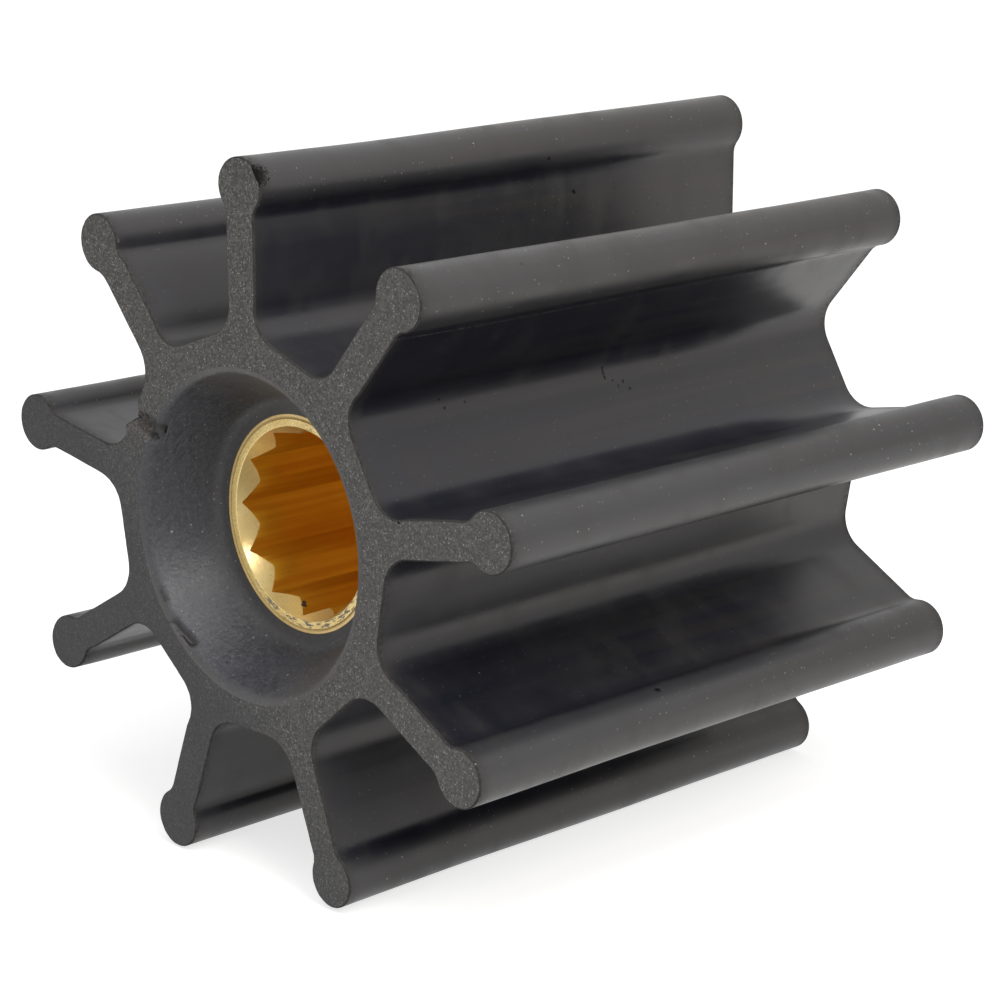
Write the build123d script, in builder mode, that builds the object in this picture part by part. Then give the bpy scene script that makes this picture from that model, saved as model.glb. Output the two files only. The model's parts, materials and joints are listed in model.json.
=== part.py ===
from build123d import *
import os
from math import cos, radians, sin, tan

# Flexible impeller of a raw-water pump, in millimetres.
# A rubber body, moulded in one piece with its vanes, is bonded round a brass bush.
# The shaft axis is Y and the origin is on it, halfway between the two end faces.
# +Z is up: one vane points straight up, and the two lowest vanes carry the impeller.

# Overall size
outside_diameter = 95.3
length = 87.8

# Vanes
vane_count = 9
web_thickness = 4.7
bulb_diameter = 7.7
neck_fillet = 2.6
root_fillet = 4.6

# Hub, with a flat floor between each two vanes
hub_across_flats = 50.6

# Recess in each end of the hub, down to the bush
recess_mouth_diameter = 41.4
recess_floor_width = 1.9
recess_depth = 8.8
recess_rim_round = 1.0
recess_floor_fillet = 1.6

# Bush
bush_diameter = 28.2
groove_diameter = 27.2
groove_width = 0.3
groove_depth = 0.3

# Spline in the bush's bore
spline_teeth = 12
spline_root_diameter = 24.4
spline_tip_diameter = 22.4
spline_tip_round = 1.2
spline_phase = -2.3
lead_in_diameter = 25.0
lead_in_angle = 27.0

# Sizes that follow from the ones above
face_y = length / 2
bush_end_y = face_y - recess_depth
bush_radius = bush_diameter / 2
bulb_centre_radius = (outside_diameter - bulb_diameter) / 2
recess_mouth_radius = recess_mouth_diameter / 2
recess_floor_radius = bush_radius + recess_floor_width
tooth_half_pitch = radians(180 / spline_teeth)

# Rubber body: hub, webs and bulbs are one section, extruded over the whole length
with BuildPart() as rubber_body:
    with BuildSketch(Plane.XZ) as body_section:
        RegularPolygon(hub_across_flats / 2, vane_count, major_radius=False, rotation=90)
        with PolarLocations(0, vane_count, start_angle=90):
            Rectangle(bulb_centre_radius, web_thickness, align=(Align.MIN, Align.CENTER))
        with PolarLocations(bulb_centre_radius, vane_count, start_angle=90):
            Circle(bulb_diameter / 2)
        roots = body_section.vertices().group_by(SortBy.DISTANCE)[0]
        fillet(roots, root_fillet)
        necks = body_section.vertices().filter_by(
            lambda v: abs(Vector(v).length - bulb_centre_radius) < bulb_diameter / 2
        )
        fillet(necks.group_by(SortBy.DISTANCE)[0], neck_fillet)
        Circle(bush_radius, mode=Mode.SUBTRACT)
    extrude(amount=face_y, both=True)

    # The recess is a cone that opens towards the end face, with a flat rubber floor round the bush
    with BuildSketch(Plane.XY) as recess_section:
        with BuildLine():
            Polyline(
                (0, bush_end_y),
                (recess_floor_radius, bush_end_y),
                (recess_mouth_radius, face_y),
                (0, face_y),
                close=True,
            )
        make_face()
        mirror(about=Plane.XZ)
    revolve(axis=Axis.Y, mode=Mode.SUBTRACT)
    recess_edges = rubber_body.edges(Select.LAST).filter_by(GeomType.CIRCLE)
    rims = recess_edges.filter_by(lambda e: abs(e.radius - recess_mouth_radius) < 1e-3)
    fillet(rims, recess_rim_round)
    floors = rubber_body.edges().filter_by(GeomType.CIRCLE).filter_by(
        lambda e: abs(e.radius - recess_floor_radius) < 1e-3
    )
    fillet(floors, recess_floor_fillet)

rubber_body.part.label = "rubber_body"

# Brass bush: each space between two teeth is a sharp vee, and the tooth tips are rounded
with BuildPart() as spline_bush:
    with BuildSketch(Plane.XZ) as bush_section:
        Circle(bush_radius)
        with BuildSketch(mode=Mode.PRIVATE) as spline_section:
            tip_x = spline_tip_diameter / 2 * cos(tooth_half_pitch)
            tip_y = spline_tip_diameter / 2 * sin(tooth_half_pitch)
            with PolarLocations(0, spline_teeth, start_angle=90 + spline_phase):
                Polygon((0, 0), (tip_x, -tip_y), (spline_root_diameter / 2, 0), (tip_x, tip_y), align=None)
            tips = spline_section.vertices().group_by(SortBy.DISTANCE)[0]
            fillet(tips, spline_tip_round)
        add(spline_section.sketch, mode=Mode.SUBTRACT)
    extrude(amount=bush_end_y, both=True)

    # Each end has a conical lead-in that cuts the teeth back, and a fine turned groove
    with BuildSketch(Plane.XY) as end_section:
        with BuildLine():
            Polyline(
                (0, bush_end_y),
                (lead_in_diameter / 2, bush_end_y),
                (0, bush_end_y - lead_in_diameter / 2 / tan(radians(lead_in_angle))),
                close=True,
            )
        make_face()
        with Locations((groove_diameter / 2, bush_end_y)):
            Rectangle(groove_width, groove_depth, align=(Align.CENTER, Align.MAX))
        mirror(about=Plane.XZ)
    revolve(axis=Axis.Y, mode=Mode.SUBTRACT)

spline_bush.part.label = "spline_bush"

os.makedirs("parts", exist_ok=True)
export_step(rubber_body.part, "parts/rubber_body.step")
export_step(spline_bush.part, "parts/spline_bush.step")
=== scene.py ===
# %% [markdown]
# # A rubber pump impeller
# The object is the flexible impeller of a raw-water pump: one body of black rubber, moulded with
# its nine vanes, and bonded inside it a brass bush with a twelve-tooth spline for the shaft.
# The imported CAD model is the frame. Its shaft axis is Y, the end face that the camera sees looks
# along -Y, and +Z is up. Blender works in metres, so every size below is written in millimetres
# and scaled once, when a mesh is made.

# %% Load the frame
import json
from math import acos, atan2, cos, pi, radians, sin, sqrt, tan

import bmesh
import bpy
import numpy as np
from mathutils import Matrix, Vector, noise

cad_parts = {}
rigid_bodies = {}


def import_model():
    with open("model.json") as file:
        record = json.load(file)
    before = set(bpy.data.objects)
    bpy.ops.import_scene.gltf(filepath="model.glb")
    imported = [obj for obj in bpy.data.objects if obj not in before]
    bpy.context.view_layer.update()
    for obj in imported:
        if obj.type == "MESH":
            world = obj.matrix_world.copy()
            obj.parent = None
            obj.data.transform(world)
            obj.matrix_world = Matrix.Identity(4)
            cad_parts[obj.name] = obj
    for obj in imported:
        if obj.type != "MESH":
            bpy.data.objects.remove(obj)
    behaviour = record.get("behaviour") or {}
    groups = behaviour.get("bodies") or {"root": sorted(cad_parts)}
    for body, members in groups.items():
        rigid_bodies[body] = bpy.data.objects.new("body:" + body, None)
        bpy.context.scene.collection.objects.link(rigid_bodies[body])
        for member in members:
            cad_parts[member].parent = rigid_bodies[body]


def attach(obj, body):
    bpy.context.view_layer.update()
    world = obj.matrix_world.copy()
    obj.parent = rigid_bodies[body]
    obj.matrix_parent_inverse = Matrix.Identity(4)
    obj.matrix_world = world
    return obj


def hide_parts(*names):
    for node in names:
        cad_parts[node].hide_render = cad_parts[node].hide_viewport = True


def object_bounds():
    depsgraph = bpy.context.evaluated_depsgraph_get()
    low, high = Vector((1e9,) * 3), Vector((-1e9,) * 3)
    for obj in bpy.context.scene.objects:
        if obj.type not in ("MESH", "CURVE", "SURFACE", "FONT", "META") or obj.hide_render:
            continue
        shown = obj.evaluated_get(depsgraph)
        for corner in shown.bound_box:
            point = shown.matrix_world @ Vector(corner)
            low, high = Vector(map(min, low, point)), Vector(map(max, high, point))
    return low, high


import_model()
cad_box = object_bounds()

MM = 0.001
print("CAD box in mm:", [[round(c / MM, 2) for c in corner] for corner in cad_box])

# %% [markdown]
# ## Camera
# A camera could be aimed by hand, but then every later comparison would argue with it. This one
# comes from the object's own geometry: the ends of the vanes, the round bush and the length give
# one position, one direction and one lens, and the object sits where it does in the picture.

# %% Camera
azimuth, elevation, roll = radians(45.5616), radians(14.426), radians(0.0364)
distance = 390.25
side_shift, height_shift = 0.117, -3.021
sensor_width, focal_length = 36.0, 104.84

right = Vector((cos(azimuth), sin(azimuth), 0))
back = Vector((sin(azimuth) * cos(elevation), -cos(azimuth) * cos(elevation), sin(elevation)))
up = back.cross(right)
right, up = cos(roll) * right + sin(roll) * up, cos(roll) * up - sin(roll) * right

camera_data = bpy.data.cameras.new("camera")
camera_data.sensor_width = sensor_width
camera_data.lens = focal_length
camera_data.clip_start, camera_data.clip_end = 0.01, 50
camera = bpy.data.objects.new("camera", camera_data)
camera.matrix_world = Matrix((
    (right.x, up.x, back.x, 0),
    (right.y, up.y, back.y, 0),
    (right.z, up.z, back.z, 0),
    (0, 0, 0, 1),
))
camera.location = (right * side_shift + up * height_shift + back * distance) * MM
bpy.context.scene.collection.objects.link(camera)
bpy.context.scene.camera = camera
print("camera at", [round(c, 4) for c in camera.location])

# %% [markdown]
# ## Node helpers
# Shader trees can be clicked together or written. Written trees stay readable when every node is
# made by one short call. A socket knows the tree it is in, so a sum of sockets needs no tree.

# %% Node helpers
def add_node(tree, kind, inputs=None, **options):
    """One node of that kind. An input that is a socket is linked, and any other is a value."""
    node = tree.nodes.new(kind)
    for name, value in options.items():
        setattr(node, name, value)
    for name, value in (inputs or {}).items():
        if isinstance(value, bpy.types.NodeSocket):
            tree.links.new(value, node.inputs[name])
        else:
            node.inputs[name].default_value = value
    return node


def calculate(operation, *values, clamp=False):
    """The output of one Math node. Values are numbers or sockets, and at least one is a socket."""
    tree = next(value.id_data for value in values if isinstance(value, bpy.types.NodeSocket))
    inputs = dict(enumerate(values))
    return add_node(tree, "ShaderNodeMath", inputs, operation=operation, use_clamp=clamp).outputs[0]


def product(first, *others):
    for other in others:
        first = calculate("MULTIPLY", first, other)
    return first


def most(first, *others):
    for other in others:
        first = calculate("MAXIMUM", first, other)
    return first


def scaled(value, scale, offset):
    """value times scale, plus offset."""
    return calculate("MULTIPLY_ADD", value, scale, offset)


def ramp(value, low, high, to_low=0.0, to_high=1.0):
    """A value brought from low..high to to_low..to_high along a smooth step."""
    names = ("Value", "From Min", "From Max", "To Min", "To Max")
    inputs = dict(zip(names, (value, low, high, to_low, to_high)))
    node = add_node(value.id_data, "ShaderNodeMapRange", inputs, interpolation_type="SMOOTHSTEP")
    return node.outputs["Result"]


def blend(amount, first, second):
    """first where amount is 0 and second where it is 1; colours are tuples or sockets."""
    first, second = ((*colour, 1) if isinstance(colour, tuple) else colour for colour in (first, second))
    # a Mix node takes its colours on inputs 6 and 7 and gives one on output 2
    inputs = {0: amount, 6: first, 7: second}
    return add_node(amount.id_data, "ShaderNodeMix", inputs, data_type="RGBA").outputs[2]


def new_group(name, inputs, outputs):
    """An empty shader group with those named sockets, what it is given, and a call to give out."""
    tree = bpy.data.node_groups.new(name, "ShaderNodeTree")
    for direction, sockets in (("INPUT", inputs), ("OUTPUT", outputs)):
        for label, kind, *default in sockets:
            socket = tree.interface.new_socket(label, in_out=direction, socket_type=f"NodeSocket{kind}")
            if default:
                socket.default_value = default[0]
    given, taken = tree.nodes.new("NodeGroupInput").outputs, tree.nodes.new("NodeGroupOutput").inputs

    def give_out(label, socket):
        tree.links.new(socket, taken[label])

    print("group:", name)
    return tree, given, give_out


def new_material(name):
    """A node material with its tree, its Principled shader and nothing else linked yet."""
    material = bpy.data.materials.new(name)
    material.use_nodes = True
    return material, material.node_tree, material.node_tree.nodes["Principled BSDF"]

# %% [markdown]
# ## Floor, surroundings and lamps
# Black rubber shows little colour of its own. What the eye reads on it is the room, so the room
# is a plain white studio: a pale floor, a white sky for the camera and for reflections, and three
# soft lamps: a large one overhead, one to the right, and a small one between them that makes the
# glint in the mouth of the bush. The floor is lifted to white for the camera with a little
# emission, and its diffuse part still takes the object's shadow.

# %% Floor and world
def lifted_for_camera(tree):
    """1 for camera, glossy and transmission rays, which should meet a white room, else 0."""
    path = add_node(tree, "ShaderNodeLightPath")
    return most(*(path.outputs[f"Is {kind} Ray"] for kind in ("Camera", "Glossy", "Transmission")))


floor_height = cad_box[0].z - 0.0002
floor_mesh = bpy.data.meshes.new("studio_floor")
floor_half = 6.0
floor_mesh.from_pydata(
    [(x * floor_half, y * floor_half, floor_height) for x, y in ((-1, -1), (1, -1), (1, 1), (-1, 1))],
    [], [(0, 1, 2, 3)],
)
floor = bpy.data.objects.new("studio_floor", floor_mesh)
bpy.context.scene.collection.objects.link(floor)

floor_paint, tree, shader = new_material("floor_paint")
shader.inputs["Base Color"].default_value = (0.48, 0.48, 0.48, 1)
shader.inputs["Roughness"].default_value = 0.9
shader.inputs["Specular IOR Level"].default_value = 0.0
shader.inputs["Emission Color"].default_value = (1, 1, 1, 1)
tree.links.new(product(lifted_for_camera(tree), 0.71), shader.inputs["Emission Strength"])
floor_mesh.materials.append(floor_paint)

world = bpy.data.worlds.new("studio")
bpy.context.scene.world = world
world.use_nodes = True
sky = world.node_tree.nodes["Background"]
sky.inputs["Color"].default_value = (1, 1, 1, 1)
sky_strength = ramp(lifted_for_camera(world.node_tree), 0.0, 1.0, 0.62, 1.0)
world.node_tree.links.new(sky_strength, sky.inputs["Strength"])
bpy.context.scene.view_settings.view_transform = "Standard"
print("floor at", round(floor_height / MM, 2), "mm")

# %% Lamps
def soft_lamp(name, towards, reach, width, height, watts, colour):
    """A rectangular lamp reach metres away along towards, facing the object."""
    data = bpy.data.lights.new(name, "AREA")
    data.shape, data.size, data.size_y = "RECTANGLE", width, height
    data.energy, data.color = watts, colour
    lamp = bpy.data.objects.new(name, data)
    direction = Vector(towards).normalized()
    lamp.location = direction * reach
    lamp.rotation_euler = direction.to_track_quat("Z", "Y").to_euler()
    bpy.context.scene.collection.objects.link(lamp)
    return lamp


soft_lamp("lamp_right", (0.76, -0.23, 0.61), 0.9, 0.32, 0.32, 3.8, (1.0, 0.965, 0.915))
soft_lamp("lamp_glint", (0.50, -0.15, 0.86), 0.9, 0.16, 0.16, 1.2, (1.0, 0.99, 0.98))
soft_lamp("lamp_top", (0.30, -0.30, 0.91), 1.0, 0.75, 0.75, 4.0, (1.0, 0.99, 0.97))

# %% [markdown]
# ## The section of the body
# Hub, webs and bulbs are one section, the same all along the shaft axis. It could be drawn as a
# curve and filled, but a fill gives triangles that shade badly. Here one side of one vane is laid
# out as points, from the middle of a valley up to the tip: flat floor, root fillet, straight web,
# neck fillet, round bulb. Each point also keeps the direction that faces out of the rubber, which
# later gives the fine rounding along the edges of the end faces.

# %% One side of a vane
VANES = 9
HALF_PITCH = pi / VANES
TIP_RADIUS, HALF_LENGTH = 47.65, 43.9
HALF_WEB, BULB_RADIUS = 2.35, 3.85
ROOT_FILLET, NECK_FILLET = 4.6, 2.6
VALLEY_RADIUS = 25.3
BULB_CENTRE = TIP_RADIUS - BULB_RADIUS
VALLEY_STEPS, ROOT_STEPS, WEB_STEPS, NECK_STEPS, BULB_STEPS = 10, 14, 9, 6, 17


def turned(points, angle):
    """Points in a plane, turned about its origin."""
    first, second = points[..., 0], points[..., 1]
    return np.stack((first * cos(angle) - second * sin(angle), first * sin(angle) + second * cos(angle)), -1)


def side_of_vane():
    """Points (across, out) of one side of a vane from valley to tip, and their outward normals."""
    facing = np.array((sin(HALF_PITCH), cos(HALF_PITCH)))
    root_out = (VALLEY_RADIUS + ROOT_FILLET - (HALF_WEB + ROOT_FILLET) * facing[0]) / facing[1]
    root_centre = np.array((HALF_WEB + ROOT_FILLET, root_out))
    neck_across = HALF_WEB + NECK_FILLET
    reach = BULB_RADIUS + NECK_FILLET
    neck_centre = np.array((neck_across, BULB_CENTRE - sqrt(reach**2 - neck_across**2)))
    bulb_centre = np.array((0.0, BULB_CENTRE))
    points, normals = [], []

    def add_arc(centre, radius, start, end, steps, inward):
        for turn in np.linspace(start, end, steps + 1)[1:]:
            direction = np.array((cos(turn), sin(turn)))
            points.append(centre + radius * direction)
            normals.append(-direction if inward else direction)

    def add_line(start, end, steps, normal, first=False):
        for share in np.linspace(0, 1, steps + 1)[0 if first else 1:]:
            points.append(start + (end - start) * share)
            normals.append(np.array(normal))

    add_line(VALLEY_RADIUS * facing, root_centre - ROOT_FILLET * facing, VALLEY_STEPS, facing, True)
    add_arc(root_centre, ROOT_FILLET, -pi / 2 - HALF_PITCH, -pi, ROOT_STEPS, True)
    add_line(points[-1], np.array((HALF_WEB, neck_centre[1])), WEB_STEPS, (1.0, 0.0))
    neck_turn = acos(neck_across / reach)
    add_arc(neck_centre, NECK_FILLET, pi, pi - neck_turn, NECK_STEPS, True)
    add_arc(bulb_centre, BULB_RADIUS, -neck_turn, pi / 2, BULB_STEPS, False)
    return np.array(points), np.array(normals)


side_points, side_normals = side_of_vane()
SIDE = len(side_points) - 1
BASE = VALLEY_STEPS + ROOT_STEPS
print("one side of a vane:", SIDE, "steps, tip at", side_points[-1].round(3))

# %% [markdown]
# ## The ring of section points
# Going round the impeller clockwise, each vane adds its left side from valley to tip and its
# right side back down. The same list gives every slice of the body, so slices can be skinned with
# plain quads.

# %% Section ring
def vane_angle(vane):
    """The vane's direction: vane 0 points up and they count clockwise from the front."""
    return pi / 2 - vane * 2 * HALF_PITCH


def on_vane(vane, hand, local):
    """(across, out) of a vane as (x, z). hand is -1 on its left side and 1 on its right."""
    return turned(np.stack((local[..., 1], -hand * local[..., 0]), -1), vane_angle(vane))


def section_ring():
    """The closed outline of the section as (x, z), and the directions facing out of it."""
    ring, facing = [], []
    for vane in range(VANES):
        ring += [on_vane(vane, -1, side_points), on_vane(vane, 1, side_points[SIDE - 1:0:-1])]
        facing += [on_vane(vane, -1, side_normals), on_vane(vane, 1, side_normals[SIDE - 1:0:-1])]
    return np.concatenate(ring), np.concatenate(facing)


ring, facing = section_ring()
AROUND = len(ring)
print("section ring:", AROUND, "points")

# %% [markdown]
# ## Slices along the axis
# Long straight walls need few slices, but the ends need several: a fine round of 0.15 mm softens
# the edge where the wall meets the end face, as on any moulded and trimmed edge, and one more
# slice close by keeps that round from bending the light far along the wall.

# %% Slices
# The round's radius, and how far its middle point lies below the end face and inside the wall
EDGE_ROUND, MID_ROUND = 0.15, 0.044
inner_slices = [0.0, 0.2, 0.5, 0.9, 1.4, 2.0, 2.8, 4.0, 6.0]
middle_slices = list(np.linspace(8.5, 2 * HALF_LENGTH - 8.5, 24))
from_edge = inner_slices + middle_slices + [2 * (HALF_LENGTH - EDGE_ROUND) - s for s in inner_slices[::-1]]
slices = [(-HALF_LENGTH, EDGE_ROUND), (-HALF_LENGTH + MID_ROUND, MID_ROUND)]
slices += [(-HALF_LENGTH + EDGE_ROUND + s, 0.0) for s in from_edge]
slices += [(HALF_LENGTH - MID_ROUND, MID_ROUND), (HALF_LENGTH, EDGE_ROUND)]
print("slices:", len(slices))

# %% [markdown]
# ## Building the rubber body
# The mesh is one closed skin: the walls between the slices, the two end faces, the two recesses
# and the bore that holds the bush. An end face is a ladder of quads up each vane, and a ring of
# quads round the hub whose columns run on into the recess, so nothing is left to a fill tool.

# %% Skin builder
class Skin:
    """Vertices in millimetres, faces, and one finish number for each face."""

    def __init__(self):
        self.points, self.faces, self.finish = [], [], []

    def add(self, points):
        """Adds a row of (x, y, z) points and returns their numbers."""
        start = len(self.points)
        self.points += [tuple(p) for p in points]
        return list(range(start, start + len(points)))

    def add_ring(self, radius, height, angles):
        """Adds a row round the shaft axis; radius and height may change on the way."""
        radius, height = (np.broadcast_to(value, len(angles)) for value in (radius, height))
        return self.add(np.stack((radius * np.cos(angles), height, radius * np.sin(angles)), 1))

    def join(self, first, second, finish, closed=True, flip=False):
        """Quads between two rows of the same length."""
        count = len(first)
        for i in range(count if closed else count - 1):
            j = (i + 1) % count
            quad = (first[i], first[j], second[j], second[i])
            self.faces.append(quad[::-1] if flip else quad)
            self.finish.append(finish)


MOULDED, CUT, RECESS = 0, 1, 2
skin = Skin()
rows = []
for height, inset in slices:
    outline = ring - facing * inset
    rows.append(skin.add(np.insert(outline, 1, height, axis=1)))
for first, second in zip(rows, rows[1:]):
    skin.join(first, second, MOULDED)
print("walls:", len(skin.faces), "quads")

# %% End faces
ACROSS, HUB_ROWS = 10, 18
RECESS_MOUTH, RECESS_DEPTH, RECESS_FLOOR, FLOOR_FILLET = 20.7, 8.8, 16.0, 1.6
BUSH_RADIUS = 14.1
wall_lean = atan2(RECESS_MOUTH - RECESS_FLOOR, RECESS_DEPTH)


def rim_round(angle):
    """The rim of the recess is worn softer at the lower left than on the other side."""
    return 1.0 + 0.5 * max(0.0, cos(angle - radians(220)))


def rim_tangent(angle):
    """The radius at which the rim's round leaves the end face."""
    return RECESS_MOUTH + rim_round(angle) * tan((pi / 2 - wall_lean) / 2)


def end_face(border, height, flip):
    """The end face inside one border row; returns its innermost row, which the recess goes on from."""
    columns = []
    for vane in range(VANES):
        start = vane * 2 * SIDE
        left = [border[start + j] for j in range(SIDE)]
        right = [border[(start + 2 * SIDE - j) % AROUND] for j in range(SIDE)]
        previous = None
        for j in range(BASE, SIDE):
            a, b = (np.array(skin.points[k]) for k in (left[j], right[j]))
            inner = skin.add([a + (b - a) * i / ACROSS for i in range(1, ACROSS)])
            row = [left[j], *inner, right[j]]
            if previous:
                skin.join(previous, row, CUT, closed=False, flip=flip)
            else:
                base_row = row
            previous = row
        tip = border[start + SIDE]
        for i in range(ACROSS):
            face = (previous[i], previous[i + 1], tip)
            skin.faces.append(face[::-1] if flip else face)
            skin.finish.append(CUT)
        columns += left[:BASE] + base_row + right[BASE - 1:0:-1]
    outer = np.array([skin.points[k] for k in columns])
    angles = np.arctan2(outer[:, 2], outer[:, 0])
    radius = np.array([rim_tangent(a) for a in angles])
    innermost = skin.add_ring(radius, height, angles)
    inner = np.array([skin.points[k] for k in innermost])
    previous = innermost
    for step in range(1, HUB_ROWS):
        row = skin.add(inner + (outer - inner) * step / HUB_ROWS)
        skin.join(previous, row, CUT, flip=flip)
        previous = row
    skin.join(previous, columns, CUT, flip=flip)
    return innermost, angles


front_inner, angles = end_face(rows[0], -HALF_LENGTH, flip=False)
rear_inner, _ = end_face(rows[-1], HALF_LENGTH, flip=True)
print("with end faces:", len(skin.faces), "faces,", len(angles), "columns round the hub")

# %% [markdown]
# ## Recesses and bore
# Each end of the hub is dished, so that the bush stays clear of the pump's end plate. The dish is
# turned from a short path: the round rim, the sloping wall, a fillet, and the narrow rubber floor
# beside the bush. It is turned column by column because the rim's round changes on the way.

# %% Recesses
def recess_path(angle, wall_steps):
    """(radius, depth below the end face) from the rim down to the bush."""
    lean, rim, path = wall_lean, rim_round(angle), []
    rim_centre = (rim_tangent(angle), rim)
    for turn in np.linspace(0, pi / 2 - lean, 6)[1:]:
        path.append((rim_centre[0] - rim * sin(turn), rim_centre[1] - rim * cos(turn)))
    foot = RECESS_FLOOR - FLOOR_FILLET * tan((pi / 2 - lean) / 2)
    centre = (foot, RECESS_DEPTH - FLOOR_FILLET)
    wall_end = (centre[0] + FLOOR_FILLET * cos(lean), centre[1] + FLOOR_FILLET * sin(lean))
    start = path[-1]
    for share in wall_steps:
        path.append(tuple(s + (e - s) * share for s, e in zip(start, wall_end)))
    for turn in np.linspace(lean, pi / 2, 6)[1:]:
        path.append((centre[0] + FLOOR_FILLET * cos(turn), centre[1] + FLOOR_FILLET * sin(turn)))
    path.append(((foot + BUSH_RADIUS) / 2, RECESS_DEPTH))
    path.append((BUSH_RADIUS, RECESS_DEPTH))
    return path


def recess(first_row, end, wall_steps, flip):
    """One dished end, from the end face's innermost row to the bore's edge row."""
    paths = np.array([recess_path(a, wall_steps) for a in angles])
    previous = first_row
    for step in range(paths.shape[1]):
        radius, depth = paths[:, step, 0], paths[:, step, 1]
        row = skin.add_ring(radius, end * (HALF_LENGTH - depth), angles)
        skin.join(row, previous, RECESS, flip=flip)
        previous = row
    return previous


fine_steps = list(np.linspace(0, 0.4, 13)[1:]) + list(np.linspace(0.4, 1, 9)[1:])
front_bore = recess(front_inner, -1, fine_steps, flip=False)
rear_bore = recess(rear_inner, 1, np.linspace(0, 1, 9)[1:], flip=True)
skin.join(rear_bore, front_bore, MOULDED)
print("closed body:", len(skin.faces), "faces,", len(skin.points), "points")

# %% [markdown]
# ## What use has done to the shape
# Nine equal vanes would look like a drawing. On the real body the bulbs at the front end differ a
# little from one another, the walls are not dead flat, a piece is torn out of the hub face
# between the two vanes at the upper left, and the recess has two cuts along its rim. All of these
# are shapes, so they are pressed into the points before the mesh is made; the shade in the tear
# and in the cuts is painted on as well, later, in the finishes.

# %% Uneven bulbs and webs
points = np.array(skin.points)
torn_and_shaded = np.zeros(len(points))


def smooth_step(value, low, high):
    share = np.clip((value - low) / (high - low), 0, 1)
    return share * share * (3 - 2 * share)


# For each vane's front end: shift across and out (mm), then width and height as shares, then how
# far the web stands out to its left and right (mm)
FRONT_ENDS = {
    0: (0.10, -0.17, 1.05, 0.95, 2.56, 2.66),
    1: (0.10, -0.02, 1.03, 0.99, 2.45, 2.70),
    2: (-0.06, -0.04, 1.00, 0.99, 2.65, 2.38),
    3: (-0.06, -0.04, 0.98, 0.99, 2.52, 2.28),
    4: (-0.08, -0.10, 0.92, 0.95, 2.38, 2.20),
    5: (0.35, 0.04, 1.00, 1.00, 2.32, 2.72),
    6: (0.00, 0.05, 0.94, 1.04, 2.42, 2.30),
    7: (-0.06, 0.00, 0.99, 1.01, 2.22, 2.24),
    8: (-0.20, 0.00, 0.99, 1.00, 2.32, 2.80),
}
fade = 1 - smooth_step(points[:, 1], -30, 10)
for vane, (shift_across, shift_out, width, height, left_web, right_web) in FRONT_ENDS.items():
    turn = vane_angle(vane)
    out = points[:, 0] * cos(turn) + points[:, 2] * sin(turn)
    across = points[:, 0] * sin(turn) - points[:, 2] * cos(turn)
    here = (out > 26) & (np.abs(across) < 7)
    bulb = np.where(here, smooth_step(out, 38.5, 41.5), 0) * fade
    web = np.where(here, smooth_step(out, 27, 31), 0) * fade - bulb
    web_width = np.where(across > 0, right_web, left_web) / HALF_WEB
    move_across = bulb * (shift_across + (width - 1) * across) + web * (web_width - 1) * across
    move_out = bulb * (shift_out + (height - 1) * (out - BULB_CENTRE))
    points[:, 0] += move_out * cos(turn) + move_across * sin(turn)
    points[:, 2] += move_out * sin(turn) - move_across * cos(turn)
print("bulb reach now:", round(float(np.hypot(points[:, 0], points[:, 2]).max()), 2), "mm")

# %% Walls that are not dead flat
wall_count = AROUND * len(slices)
wall_facing = np.tile(facing, (len(slices), 1))
for i in range(wall_count):
    x, y, z = points[i]
    swell = noise.noise(Vector((x * 0.09, y * 0.028, z * 0.09)))
    swell += 0.4 * noise.noise(Vector((x * 0.3 + 40, y * 0.07, z * 0.3)))
    swell *= 0.09 * smooth_step(HALF_LENGTH - abs(y), 0.0, 5.0)
    points[i, 0] += wall_facing[i, 0] * (swell - 0.05)
    points[i, 2] += wall_facing[i, 1] * (swell - 0.05)
print("walls swell by up to 0.1 mm")

# %% Waist and ragged front edge
reach_out = np.hypot(points[:, 0], points[:, 2])
sag = 0.17 * smooth_step(reach_out, 34, 42) * (1 - (points[:, 1] / HALF_LENGTH) ** 2)
points[:, [0, 2]] *= (1 - sag / np.maximum(reach_out, 1))[:, None]
for i in range(2 * AROUND):
    x, y, z = points[i]
    nick = 0.09 * abs(noise.noise(Vector((x * 1.1, 5.0, z * 1.1))))
    nick += 0.15 * max(0.0, noise.noise(Vector((x * 0.8 + 30, 1.0, z * 0.8))) - 0.38)
    points[i, 0] -= facing[i % AROUND, 0] * nick
    points[i, 2] -= facing[i % AROUND, 1] * nick
print("the vanes are 0.17 mm lower halfway along")

# %% [markdown]
# ## The torn place and the rim cuts
# The tear runs from the valley edge to the rim of the recess: a shallow rough pit, a lip of rubber
# pulled out into the valley, a notch beside it, and a small deep chip at the rim. A sculpting brush
# would do it, but a few formulas on the fine columns of the hub face give the same shape each time.

# %% Torn hub face
valley_out = np.array((cos(radians(150)), sin(radians(150))))
valley_along = np.array((cos(radians(60)), sin(radians(60))))
flat_out = points[:, [0, 2]] @ valley_out
flat_along = points[:, [0, 2]] @ valley_along
from_face = points[:, 1] + HALF_LENGTH
near_tear = (from_face < 3) & (np.abs(flat_along) < 6) & (flat_out > 17) & (flat_out < 28)

# The edge of the valley: how far it stands out or in, along the flat
edge_shift = np.interp(flat_along, (-3.7, -3.0, -0.6, 0.4, 1.3), (0, 0.62, -0.75, -0.75, 0))
edge_weight = np.where(near_tear, smooth_step(flat_out, 23.0, 25.0), 0)
edge_weight *= 1 - smooth_step(from_face, 0.2, 1.5)
points[:, 0] += edge_shift * edge_weight * valley_out[0]
points[:, 2] += edge_shift * edge_weight * valley_out[1]
beside_tear = smooth_step(flat_along, -3.4, -3.0) * (1 - smooth_step(flat_along, 0.6, 1.1))
torn_and_shaded = np.maximum(torn_and_shaded, edge_weight * beside_tear)


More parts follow.
